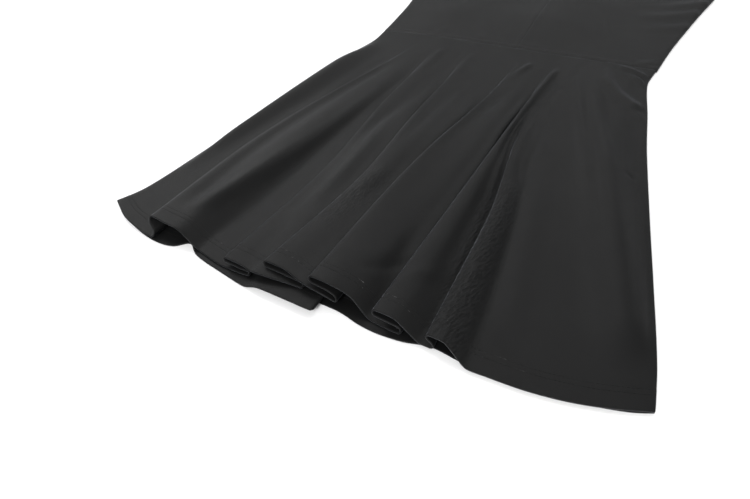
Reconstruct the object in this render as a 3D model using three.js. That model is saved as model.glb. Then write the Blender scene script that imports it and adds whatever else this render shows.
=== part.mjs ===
import * as THREE from 'three';

// Halter mini dress in black stretch knit, laid flat on its back with the front side up.
// Units are millimetres. While it is built, X = 0 is the middle of the skirt and Y = 0 the waist seam,
// with Y towards the neck and Z up from the surface that the dress lies on.
// At the end the group is moved so that the origin is the bottom centre of the whole dress.

// Driving dimensions.
// hemRound: how much shorter the skirt is at its sides. backDip: how far the back's upper edge dips.
// neckHalf and neckArch: the straps' way round the neck, to each side and up.
const cloth = 1.6;
const gap = 0.3;
const skirtLength = 420;
const hemRound = 23;
const hemHalf = 271;
const bodiceAxis = 14;
const underarmHeight = 172;
const backDip = 34;
const vDepthHeight = 228;
const strapStart = 330;
const strapWidth = 38;
const napeWidth = 34;
const neckHalf = 52;
const neckArch = 74;
const napeHeight = 432;

// How far the mid-surface of each layer lies above the surface
const backLevel = cloth / 2;
const frontLevel = backLevel + cloth + gap;

// The two sides of the skirt: x at each height
const skirtSides = [
  { y: -4, left: -166, right: 173 },
  { y: -25, left: -167, right: 171 },
  { y: -42, left: -173, right: 174 },
  { y: -80, left: -190, right: 185 },
  { y: -130, left: -203, right: 198 },
  { y: -205, left: -219, right: 220 },
  { y: -290, left: -237, right: 245 },
  { y: -360, left: -254, right: 264 },
  { y: -400, left: -271, right: 272 },
];

// The two sides of the bodice from the waist to the underarm
const bodiceSides = [
  { y: 0, left: -166, right: 174 },
  { y: 40, left: -167, right: 177 },
  { y: 72, left: -169, right: 181 },
  { y: 130, left: -177, right: 190 },
  { y: underarmHeight, left: -186, right: 198 },
];

// The armhole above the underarm: how far out it is between the strap's edge, 0, and the underarm, 1
const armhole = [
  { y: underarmHeight, out: 1 },
  { y: 200, out: 0.74 },
  { y: 235, out: 0.45 },
  { y: 275, out: 0.2 },
  { y: strapStart, out: 0 },
];

// Folds of the front skirt, from left to right.
// seam, third, twoThirds and hem: the ridge's x at the waist seam, down the length and at the hem.
// lift: height at the hem. tuck: how far the layer under the ridge is folded in at the hem.
// shoulder and reach: from the ridge to the end of its top and to where it lies flat.
// rise and lowRise: how far the hem is drawn up at the top of the fold and at its foot.
// starts and tuckStarts: where along the skirt, from 0 to 1, the fold and its tuck begin.
// lifted: where it has its full height.
// nested: whether it runs on under the next fold's ridge.
// kept: the share of its lift that it keeps beside the next fold, down to where that fold opens.
const frontFolds = [
  { seam: -98, third: -144, twoThirds: -178, hem: -200, lift: 15, tuck: 6, shoulder: 40, reach: 66,
    rise: 9, lowRise: -4, landRise: 5, starts: 0.06, lifted: 0.8, tuckStarts: 0.6, nested: false, kept: 0 },
  { seam: -75, third: -82, twoThirds: -79, hem: -97, lift: 8, tuck: 28, shoulder: 26, reach: 52,
    rise: 4, lowRise: 0, landRise: 1, starts: 0.03, lifted: 0.8, tuckStarts: 0.52, nested: true, kept: 0.4 },
  { seam: -33, third: -35, twoThirds: -31, hem: -53, lift: 10, tuck: 40, shoulder: 30, reach: 62,
    rise: 12, lowRise: 6, landRise: 7, starts: 0.03, lifted: 0.8, tuckStarts: 0.46, nested: true, kept: 0.5 },
  { seam: 24, third: 20, twoThirds: 6, hem: -3, lift: 14, tuck: 22, shoulder: 40, reach: 60,
    rise: 12, lowRise: 7, landRise: 6, starts: 0.03, lifted: 0.8, tuckStarts: 0.42, nested: false, kept: 0.55 },
  { seam: 67, third: 63, twoThirds: 60, hem: 58, lift: 14, tuck: 21, shoulder: 20, reach: 44,
    rise: 8, lowRise: 4, landRise: 3, starts: 0.04, lifted: 0.8, tuckStarts: 0.42, nested: false, kept: 0.2 },
  { seam: 104, third: 82, twoThirds: 103, hem: 110, lift: 12, tuck: 4, shoulder: 10, reach: 36,
    rise: 6, lowRise: 3, landRise: -2, starts: 0.28, lifted: 0.84, tuckStarts: 0.62, nested: false, kept: 0 },
];

// The one fold of the back skirt, its ridge to the right, flat under the front
const backFold = {
  seam: 20, third: 16, twoThirds: 12, hem: 10, lift: 5.6, tuck: 50, shoulder: 60, reach: 76,
  rise: -9, lowRise: 2, landRise: -10, starts: 0.3, lifted: 0.56, tuckStarts: 0.58,
};

// The flat stretches beside the folds: shares of the way across each, and how far the hem is drawn up there
const frontFlats = {
  left: [
    { share: 0, rise: 0 },
    { share: 0.08, rise: 0 },
    { share: 0.35, rise: -3 },
    { share: 0.65, rise: -4 },
    { share: 0.88, rise: -4 },
  ],
  first: [{ share: 0.5, rise: 0 }],
  right: [
    { share: 0.12, rise: -2 },
    { share: 0.35, rise: -2 },
    { share: 0.58, rise: -1 },
    { share: 0.8, rise: 0 },
    { share: 0.95, rise: 0 },
    { share: 1, rise: 0 },
  ],
};
const backFlats = {
  left: [
    { share: 0, rise: 0 },
    { share: 0.06, rise: -1 },
    { share: 0.25, rise: -4 },
    { share: 0.42, rise: -5 },
    { share: 0.52, rise: -1 },
    { share: 0.59, rise: 9 },
    { share: 0.66, rise: 1 },
    { share: 0.85, rise: -6 },
  ],
  right: [
    { share: 0.1, rise: 3 },
    { share: 0.22, rise: 3 },
    { share: 0.29, rise: -1 },
    { share: 0.35, rise: -2 },
    { share: 0.42, rise: 0 },
    { share: 0.49, rise: 5 },
    { share: 0.6, rise: 2 },
    { share: 0.8, rise: 1 },
    { share: 0.95, rise: 0 },
    { share: 1, rise: 0 },
  ],
};

// Soft waves of the wide front panel, each along a line from its upper to its lower end
const panelWaves = [
  { fromX: 104, fromY: -30, toX: 208, toY: -300, height: 3, width: 16 },
  { fromX: 150, fromY: -60, toX: 248, toY: -395, height: 2.4, width: 15 },
];

// The turns at a fold's foot and ridge
const flankWidth = 9;
const youngSpread = 0.6;
const tuckFull = 1.02;
const keptGrows = { from: 0.1, to: 0.35 };
const keptEases = { from: 0.72, to: 0.98 };
const leastRadius = 1.25;
const radiusShare = 1 / 5.6;
const arcSteps = 4;
const runSteps = 3;

const frontRows = 15;
const backRows = 13;
const columnWidth = 12;

// Value of a table column at a position, drawn smoothly through its rows
function along(rows, key, column, at) {
  const increasing = rows[rows.length - 1][key] > rows[0][key];
  const last = rows.length - 1;
  let i = 0;
  while (i < last - 1 && (increasing ? at > rows[i + 1][key] : at < rows[i + 1][key])) i++;
  const span = rows[i + 1][key] - rows[i][key];
  const u = THREE.MathUtils.clamp((at - rows[i][key]) / span, 0, 1);
  const slope = (k) => {
    const a = rows[Math.max(k - 1, 0)];
    const b = rows[Math.min(k + 1, last)];
    return ((b[column] - a[column]) / (b[key] - a[key])) * span;
  };
  const uu = u * u;
  const uuu = uu * u;
  return rows[i][column] * (2 * uuu - 3 * uu + 1) + slope(i) * (uuu - 2 * uu + u)
    + rows[i + 1][column] * (3 * uu - 2 * uuu) + slope(i + 1) * (uuu - uu);
}

// Grows from 0 at one position to 1 at another
const grow = (at, from, to) => THREE.MathUtils.smoothstep(at, from, to);

// The ridge's x at a share of the skirt's length
function ridgeX(fold, t) {
  const rows = [
    { t: 0, x: fold.seam },
    { t: 1 / 3, x: fold.third },
    { t: 2 / 3, x: fold.twoThirds },
    { t: 1, x: fold.hem },
  ];
  return along(rows, 't', 'x', t);
}

// The waist seam and the hem, which is round and drops from the sides to the middle
const waistY = (x) => -3 - (x < 0 ? 7 * (x / 165) ** 4 : 0);
const hemY = (x) => -skirtLength + hemRound * (Math.min(Math.abs(x) / hemHalf, 1) ** 6) - 3;

// Height that the back's fold gives to what lies over it
function backRise(x, t) {
  const ridge = ridgeX(backFold, t);
  const side = x > ridge
    ? 1 - grow(x, ridge + 4, ridge + 22)
    : grow(x, ridge - backFold.reach - 8, ridge - backFold.shoulder - 4);
  return backFold.lift * 1.04 * side * grow(t, backFold.starts - 0.08, backFold.lifted);
}

// Height of the soft waves at a place of the front skirt
function waveHeight(x, y) {
  let height = 0;
  for (const wave of panelWaves) {
    const down = THREE.MathUtils.clamp((y - wave.fromY) / (wave.toY - wave.fromY), -0.2, 1.2);
    const middle = wave.fromX + (wave.toX - wave.fromX) * down;
    const across = (x - middle) / wave.width;
    const fade = grow(down, -0.15, 0.3) * (1 - grow(down, 0.75, 1.15));
    height += wave.height * fade * Math.exp(-across * across);
  }
  return height;
}

// The cloth's way from a fold's foot up to its top: an arc, a straight run and an arc back.
// swing is -1 for a gentle slope, 0 for an upright wall and 1 for a run folded back over its whole tuck.
// The points are measured from the ridge, which is the path's furthest point against its direction.
function turnPoints(lift, swing, tuck, flank) {
  const radius = Math.max(lift * radiusShare, leastRadius);
  const upright = Math.max(lift - 2 * radius, 0);
  const run = THREE.MathUtils.lerp(upright, swing < 0 ? flank : tuck, Math.abs(swing));
  let low = swing < 0 ? 0 : Math.PI / 2;
  let high = low + Math.PI / 2;
  for (let i = 0; i < 40; i++) {
    const middle = (low + high) / 2;
    const above = 2 * radius * (1 - Math.cos(middle)) + run * Math.sin(middle) > lift;
    if (above === swing < 0) high = middle;
    else low = middle;
  }
  const angle = (low + high) / 2;
  const arc = radius * angle;
  const whole = 2 * arc + run;
  const sin = Math.sin(angle);
  const cos = Math.cos(angle);
  const secondX = radius * sin + run * cos;
  const secondZ = radius * (1 - cos) + run * sin;
  const at = (s) => {
    if (s < arc) return { x: radius * Math.sin(s / radius), z: radius * (1 - Math.cos(s / radius)) };
    if (s < arc + run) {
      return { x: radius * sin + (s - arc) * cos, z: radius * (1 - cos) + (s - arc) * sin };
    }
    const left = angle - (s - arc - run) / radius;
    return { x: secondX + radius * (sin - Math.sin(left)), z: secondZ + radius * (Math.cos(left) - cos) };
  };
  const ridge = secondX + (angle > Math.PI / 2 ? radius * (sin - 1) : 0);
  const steps = 2 * arcSteps + runSteps;
  const bent = grow(angle, Math.PI / 6, Math.PI / 2);
  const points = [{ x: -radius - ridge, z: 0 }];
  for (let k = 0; k <= steps; k++) {
    const inArc = k <= arcSteps ? arc * k / arcSteps : arc + run * (k - arcSteps) / runSteps;
    const focused = k <= arcSteps + runSteps ? inArc : arc + run + arc * (k - arcSteps - runSteps) / arcSteps;
    const point = at(THREE.MathUtils.lerp(whole * k / steps, focused, bent));
    points.push({ x: point.x - ridge, z: point.z });
  }
  return points;
}

// Size of a fold at a share t of the length
function foldAt(fold, t) {
  const up = grow(t, fold.starts, fold.lifted);
  const swing = t < fold.tuckStarts
    ? grow(t, fold.starts, fold.tuckStarts) - 1
    : grow(t, fold.tuckStarts, tuckFull);
  const spread = THREE.MathUtils.lerp(youngSpread, 1, up);
  return { ridge: ridgeX(fold, t), lift: fold.lift * up, swing, spread };
}

// The nodes of one fold's section, from its foot over the ridge to where it lies flat.
// side is 1 where the ridge faces left and -1 where it faces right.
// room is how far from the ridge it has to lie flat, and landing how high it may still lie there.
function foldNodes(fold, t, side, room, landing) {
  const { ridge, lift, swing, spread } = foldAt(fold, t);
  const nodes = turnPoints(lift, swing, fold.tuck, flankWidth * spread).map((point) => {
    const share = lift > 0 ? point.z / lift : 0;
    const rise = THREE.MathUtils.lerp(fold.lowRise, fold.rise, share);
    return { x: ridge + side * point.x, height: point.z, rise };
  });
  const narrow = spread * Math.min(1, room / (fold.reach * spread));
  const end = Math.abs(nodes[nodes.length - 1].x - ridge);
  const shoulder = Math.max(fold.shoulder * narrow, end + 2);
  const reach = Math.max(fold.reach * narrow, shoulder + 4);
  nodes.push({ x: ridge + side * (end + shoulder) / 2, height: lift, rise: fold.rise });
  nodes.push({ x: ridge + side * shoulder, height: 0.9 * lift, rise: fold.rise });
  const halfway = { height: Math.max(0.45 * lift, 1.25 * landing), rise: (fold.rise + fold.landRise) / 2 };
  nodes.push({ x: ridge + side * (shoulder + reach) / 2, ...halfway });
  nodes.push({ x: ridge + side * reach, height: landing, rise: fold.landRise });
  return nodes;
}

// Flat nodes between two places
const between = (from, to, flats) => flats.map(
  (flat) => ({ x: THREE.MathUtils.lerp(from, to, flat.share), height: 0, rise: flat.rise }),
);

// The skirt's two sides at a share of its length
function skirtSidesAt(t) {
  const y = THREE.MathUtils.lerp(skirtSides[0].y, skirtSides[skirtSides.length - 1].y, t);
  return { left: along(skirtSides, 'y', 'left', y), right: along(skirtSides, 'y', 'right', y) };
}

// The front skirt's nodes across one station.
// A fold that runs on under the next one's ridge keeps clear of the turn above it.
function frontNodes(t) {
  const { left, right } = skirtSidesAt(t);
  const nodes = [];
  frontFolds.forEach((fold, i) => {
    const next = frontFolds[i + 1];
    let room = Infinity;
    let landing = 0;
    if (next) {
      const { ridge, lift, swing, spread } = foldAt(next, t);
      const foot = turnPoints(lift, swing, next.tuck, flankWidth * spread)[0].x;
      room = ridge + Math.min(foot, 0) - ridgeX(fold, t) - 3;
      if (swing > 0 && fold.nested) {
        const clear = lift * (1 - 2 * radiusShare) - cloth - 2 * gap;
        landing = Math.max(clear, 0) * grow(swing, 0.15, 0.7);
      }
      const kept = grow(t, keptGrows.from, keptGrows.to) * (1 - grow(t, keptEases.from, keptEases.to));
      landing = Math.max(landing, fold.kept * foldAt(fold, t).lift * kept);
    }
    const own = foldNodes(fold, t, 1, room, Math.min(landing, foldAt(fold, t).lift * 0.6));
    const foot = own[0].x;
    if (i === 0) nodes.push(...between(left, foot, frontFlats.left));
    if (i === 1) nodes.push(...between(nodes[nodes.length - 1].x, foot, frontFlats.first));
    nodes.push(...own);
  });
  nodes.push(...between(nodes[nodes.length - 1].x, right, frontFlats.right));
  return nodes;
}

// The back skirt's nodes across one station
function backNodes(t) {
  const { left, right } = skirtSidesAt(t);
  const fold = foldNodes(backFold, t, -1, Infinity, 0).reverse();
  return [
    ...between(left, fold[0].x, backFlats.left),
    ...fold,
    ...between(fold[fold.length - 1].x, right, backFlats.right),
  ];
}

// Rows of points for a skirt panel: a smooth curve through the nodes of each station
function skirtRows(nodesAt, rows, level, floor, top) {
  const place = (node, t) => {
    const seam = waistY(node.x) - gap / 2;
    const y = THREE.MathUtils.lerp(seam, hemY(node.x), t) + node.rise * t * t;
    return new THREE.Vector3(node.x, y, level + floor(node.x, t) + node.height);
  };
  const hemNodes = nodesAt(1).map((node) => place(node, 1));
  const steps = hemNodes.slice(1).map((point, i) => {
    const count = Math.round(point.distanceTo(hemNodes[i]) / columnWidth);
    return THREE.MathUtils.clamp(count, 1, 5);
  });
  const result = [];
  for (let i = 0; i <= rows; i++) {
    const t = i / rows;
    const nodes = nodesAt(t).map((node) => place(node, t));
    const curve = new THREE.CatmullRomCurve3(nodes, false, 'centripetal');
    const row = [nodes[0]];
    steps.forEach((count, segment) => {
      for (let k = 1; k <= count; k++) row.push(curve.getPoint((segment + k / count) / steps.length));
    });
    for (const point of row) {
      point.z = Math.max(point.z, level + floor(point.x, t)) + top(point.x, point.y);
    }
    result.push(row);
  }
  return result;
}

// A closed wall of the cloth's thickness round a grid of mid-surface points
function wall(rows) {
  const high = rows.length;
  const wide = rows[0].length;
  const at = (i, j) => rows[THREE.MathUtils.clamp(i, 0, high - 1)][THREE.MathUtils.clamp(j, 0, wide - 1)];
  const upper = [];
  const lower = [];
  for (let i = 0; i < high; i++) {
    for (let j = 0; j < wide; j++) {
      const across = at(i, j + 1).clone().sub(at(i, j - 1));
      const down = at(i + 1, j).clone().sub(at(i - 1, j));
      const normal = down.cross(across).normalize();
      upper.push(at(i, j).clone().addScaledVector(normal, cloth / 2));
      lower.push(at(i, j).clone().addScaledVector(normal, -cloth / 2));
    }
  }
  const index = [];
  const under = upper.length;
  const quad = (a, b, c, d) => index.push(a, b, c, a, c, d);
  for (let i = 0; i < high - 1; i++) {
    for (let j = 0; j < wide - 1; j++) {
      const a = i * wide + j;
      quad(a, a + wide, a + wide + 1, a + 1);
      quad(under + a, under + a + 1, under + a + wide + 1, under + a + wide);
    }
  }
  for (let j = 0; j < wide - 1; j++) {
    const last = (high - 1) * wide + j;
    quad(j, j + 1, under + j + 1, under + j);
    quad(last, under + last, under + last + 1, last + 1);
  }
  for (let i = 0; i < high - 1; i++) {
    const first = i * wide;
    const last = first + wide - 1;
    quad(first, under + first, under + first + wide, first + wide);
    quad(last, last + wide, under + last + wide, under + last);
  }
  const geometry = new THREE.BufferGeometry().setFromPoints([...upper, ...lower]);
  geometry.setIndex(index);
  geometry.computeVertexNormals();
  return geometry;
}

// Skirt panels
function skirtFront() {
  return wall(skirtRows(frontNodes, frontRows, frontLevel, backRise, waveHeight));
}

function skirtBack() {
  return wall(skirtRows(backNodes, backRows, backLevel, () => 0, () => 0));
}

// The bodice front comes down from the level of the front to the surface above the back's upper edge
const bodiceLevel = (y) => {
  const down = grow(y, underarmHeight + 8, underarmHeight + 60);
  return THREE.MathUtils.lerp(frontLevel, backLevel, down);
};

// One half of the bodice front: from the waist to the underarm, then in along the armhole to the strap.
// side is -1 for the left of the picture and 1 for the right.
function bodiceFront(side) {
  const column = side < 0 ? 'left' : 'right';
  const underarm = Math.abs(along(bodiceSides, 'y', column, underarmHeight) - bodiceAxis);
  const strapOut = neckHalf + strapWidth / 2;
  const outer = (y) => {
    if (y <= underarmHeight) return Math.abs(along(bodiceSides, 'y', column, y) - bodiceAxis);
    return THREE.MathUtils.lerp(strapOut, underarm, along(armhole, 'y', 'out', y));
  };
  const inner = (y) => {
    const open = THREE.MathUtils.clamp((y - vDepthHeight) / (strapStart - vDepthHeight), 0, 1);
    return gap / 2 + (neckHalf - strapWidth / 2 - gap / 2) * open;
  };
  const lowRows = 6;
  const highRows = 8;
  const columns = 8;
  const heights = [];
  for (let i = 0; i < lowRows; i++) heights.push(underarmHeight * i / lowRows);
  for (let i = 0; i <= highRows; i++) {
    heights.push(THREE.MathUtils.lerp(underarmHeight, strapStart, i / highRows));
  }
  return wall(heights.reverse().map((height) => {
    const row = [];
    for (let j = 0; j <= columns; j++) {
      const share = side > 0 ? j / columns : 1 - j / columns;
      const x = bodiceAxis + side * THREE.MathUtils.lerp(inner(height), outer(height), share);
      const bottom = (waistY(x) + gap / 2) * (1 - height / strapStart);
      row.push(new THREE.Vector3(x, bottom + height, bodiceLevel(height)));
    }
    return row;
  }));
}

// The bodice back: a low panel whose upper edge dips in the middle
function bodiceBack() {
  const rows = 6;
  const columns = 14;
  const result = [];
  for (let i = rows; i >= 0; i--) {
    const t = i / rows;
    const row = [];
    for (let j = 0; j <= columns; j++) {
      const across = 2 * j / columns - 1;
      const top = underarmHeight - backDip * (1 - across * across);
      const left = along(bodiceSides, 'y', 'left', top * t);
      const right = along(bodiceSides, 'y', 'right', top * t);
      const x = THREE.MathUtils.lerp(left, right, j / columns);
      const bottom = waistY(x) + gap / 2;
      row.push(new THREE.Vector3(x, THREE.MathUtils.lerp(bottom, top, t), backLevel));
    }
    result.push(row);
  }
  return wall(result);
}

// A neck strap: straight up from the bodice, then round the neck to the seam at the nape
function neckStrap(side) {
  const steps = 16;
  const columns = 3;
  const straight = napeHeight - napeWidth / 2 - neckArch - strapStart;
  const straightShare = 2 / steps;
  const centre = strapStart + gap + straight;
  const rows = [];
  for (let i = 0; i <= steps; i++) {
    const share = i / steps;
    const round = Math.max(share - straightShare, 0) / (1 - straightShare);
    const angle = round * Math.PI / 2;
    const height = centre + neckArch * Math.sin(angle) - straight * Math.max(1 - share / straightShare, 0);
    const middle = new THREE.Vector3(neckHalf * Math.cos(angle), height, backLevel);
    const outward = new THREE.Vector3(Math.cos(angle) * neckArch, Math.sin(angle) * neckHalf, 0).normalize();
    const width = THREE.MathUtils.lerp(strapWidth, napeWidth, share);
    const row = [];
    for (let j = 0; j <= columns; j++) {
      const point = middle.clone().addScaledVector(outward, width * (j / columns - 0.5));
      point.x = bodiceAxis + side * Math.max(point.x, 0) + side * gap / 2;
      row.push(point);
    }
    rows.push(side > 0 ? row : row.reverse());
  }
  return wall(rows.reverse());
}

const knit = () => new THREE.MeshStandardMaterial({ color: 0x2d2f31, roughness: 0.9, metalness: 0 });

// The dress
const pieces = {
  skirt_back: skirtBack(),
  skirt_front: skirtFront(),
  bodice_back: bodiceBack(),
  bodice_front_left: bodiceFront(-1),
  bodice_front_right: bodiceFront(1),
  neck_strap_left: neckStrap(-1),
  neck_strap_right: neckStrap(1),
};

const dress = new THREE.Group();
dress.name = 'halter_mini_dress';
for (const [name, geometry] of Object.entries(pieces)) {
  const piece = new THREE.Mesh(geometry, knit());
  piece.name = name;
  dress.add(piece);
}

const box = new THREE.Box3().setFromObject(dress);
const centre = box.getCenter(new THREE.Vector3());
dress.position.set(-centre.x, -centre.y, -box.min.z);

export default dress;
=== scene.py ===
import math
import bpy
import numpy as np
from mathutils import Matrix, Vector


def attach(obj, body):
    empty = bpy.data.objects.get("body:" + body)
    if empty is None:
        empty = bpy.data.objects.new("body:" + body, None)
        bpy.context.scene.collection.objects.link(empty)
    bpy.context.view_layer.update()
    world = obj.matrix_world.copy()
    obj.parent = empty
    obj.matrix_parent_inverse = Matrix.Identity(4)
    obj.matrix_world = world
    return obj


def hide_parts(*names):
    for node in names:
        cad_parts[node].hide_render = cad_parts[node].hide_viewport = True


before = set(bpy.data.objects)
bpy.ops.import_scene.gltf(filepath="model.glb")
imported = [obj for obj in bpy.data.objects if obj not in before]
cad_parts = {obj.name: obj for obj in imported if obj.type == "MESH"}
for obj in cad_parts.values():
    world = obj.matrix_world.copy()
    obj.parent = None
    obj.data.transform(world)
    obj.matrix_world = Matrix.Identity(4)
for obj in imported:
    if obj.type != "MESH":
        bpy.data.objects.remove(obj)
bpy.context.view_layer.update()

mm = 0.001

# The dress is worked out in millimetres, x = 0 at the skirt's middle and y = 0 just above the waist seam.
# rowShift moves it to where the frame has it.
rowShift = (-0.5078, 0.3484, 0.0)


def toRow(points):
    return (np.asarray(points, dtype=float) + np.array(rowShift)) * mm


# Camera
cameraLook = {"place": (257.54, -628.66, 395.97), "forward": (-0.43859, 0.51945, -0.73335),
              "tilt": 12.581, "lens": 28.8, "sensor": 36}


def makeCamera(look):
    data = bpy.data.cameras.new("camera")
    data.lens = look["lens"]
    data.sensor_width = look["sensor"]
    camera = bpy.data.objects.new("camera", data)
    bpy.context.collection.objects.link(camera)
    forward = Vector(look["forward"]).normalized()
    flat = forward.cross(Vector((0, 0, 1))).normalized()
    upright = flat.cross(forward)
    turn = math.radians(look["tilt"])
    right = flat * math.cos(turn) - upright * math.sin(turn)
    up = flat * math.sin(turn) + upright * math.cos(turn)
    place = Matrix((right, up, -forward)).transposed().to_4x4()
    place.translation = Vector(toRow(look["place"]))
    camera.matrix_world = place
    bpy.context.scene.camera = camera


makeCamera(cameraLook)
print("camera set")

# What all the pieces share
cloth = {"wall": 1.6, "gap": 0.3, "over": 0.62, "under": 0.62, "rim": 3, "rimPower": 0.45}
backLevel = cloth["wall"] / 2
frontLevel = backLevel + cloth["wall"] + cloth["gap"]


def clamp(value, low, high):
    return min(max(value, low), high)


def mix(a, b, share):
    return a + (b - a) * share


def grow(at, start, end):
    u = np.clip((np.asarray(at, dtype=float) - start) / (end - start), 0, 1)
    return u * u * (3 - 2 * u)


def growOne(at, start, end):
    u = clamp((at - start) / (end - start), 0, 1)
    return u * u * (3 - 2 * u)


# Value of a table column at a position, drawn smoothly through its rows
def along(rows, key, column, at):
    increasing = rows[-1][key] > rows[0][key]
    last = len(rows) - 1
    i = 0
    while i < last - 1 and (at > rows[i + 1][key] if increasing else at < rows[i + 1][key]):
        i += 1
    span = rows[i + 1][key] - rows[i][key]
    u = clamp((at - rows[i][key]) / span, 0, 1)

    def slope(k):
        a = rows[max(k - 1, 0)]
        b = rows[min(k + 1, last)]
        return (b[column] - a[column]) / (b[key] - a[key]) * span

    return (rows[i][column] * (2 * u**3 - 3 * u**2 + 1) + slope(i) * (u**3 - 2 * u**2 + u)
            + rows[i + 1][column] * (3 * u**2 - 2 * u**3) + slope(i + 1) * (u**3 - u**2))


def table(names, *rows):
    keys = names.split()
    return [dict(zip(keys, row)) for row in rows]


# Height of soft creases at places x, y. Each runs from one end to the other, bent sideways in its middle.
def creaseHeight(x, y, creases):
    height = np.zeros_like(x)
    for c in creases:
        chordX = c["toX"] - c["fromX"]
        chordY = c["toY"] - c["fromY"]
        length = math.hypot(chordX, chordY)
        down = ((x - c["fromX"]) * chordX + (y - c["fromY"]) * chordY) / length**2
        sideways = ((x - c["fromX"]) * chordY - (y - c["fromY"]) * chordX) / length
        sideways = sideways - 4 * c["bend"] * down * (1 - down)
        fade = grow(down, 0, c["start"]) * (1 - grow(down, 1 - c["end"], 1))
        height += c["height"] * fade * np.exp(-(sideways / c["width"])**2)
    return height


# Skirt
skirt = {
    "length": 420, "hemRound": 23, "hemHalf": 271, "waistLow": 3, "waistDrop": 7, "waistHalf": 165,
    "sides": table("y left right", (-4, -166, 173), (-25, -167, 171), (-42, -173, 174), (-80, -190, 185),
                   (-130, -203, 198), (-205, -219, 220), (-290, -237, 245), (-360, -254, 264),
                   (-400, -271, 272)),
    "flankWidth": 7, "youngSpread": 0.6, "tuckFull": 1.02, "leastRadius": 0.7, "radiusShare": 1 / 4.7,
    "shoulderHigh": 0.9, "slopeHigh": 0.45, "slopeOverLanding": 1.25, "leastShoulder": 2, "leastSlope": 4,
    "arcSteps": 5, "runSteps": 3, "mostSteps": 14, "rowStep": 3.0, "openRoom": 4, "grainAtSeam": 0.45,
    "hemDeep": 18, "hemEdge": (0.8, 0.6), "hemExtra": 0.35, "hemPuff": 0.05,
    # the two rows of hem stitches pull the cloth in unevenly, in two long waves
    "stitchRows": (13.5, 18), "stitchDip": 0.06, "dipWidth": 0.9,
    "pullLeast": 0.55, "pullSpread": 0.45, "pullWaves": ((0.13, 1.3), (0.051, 0.4)),
}

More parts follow.
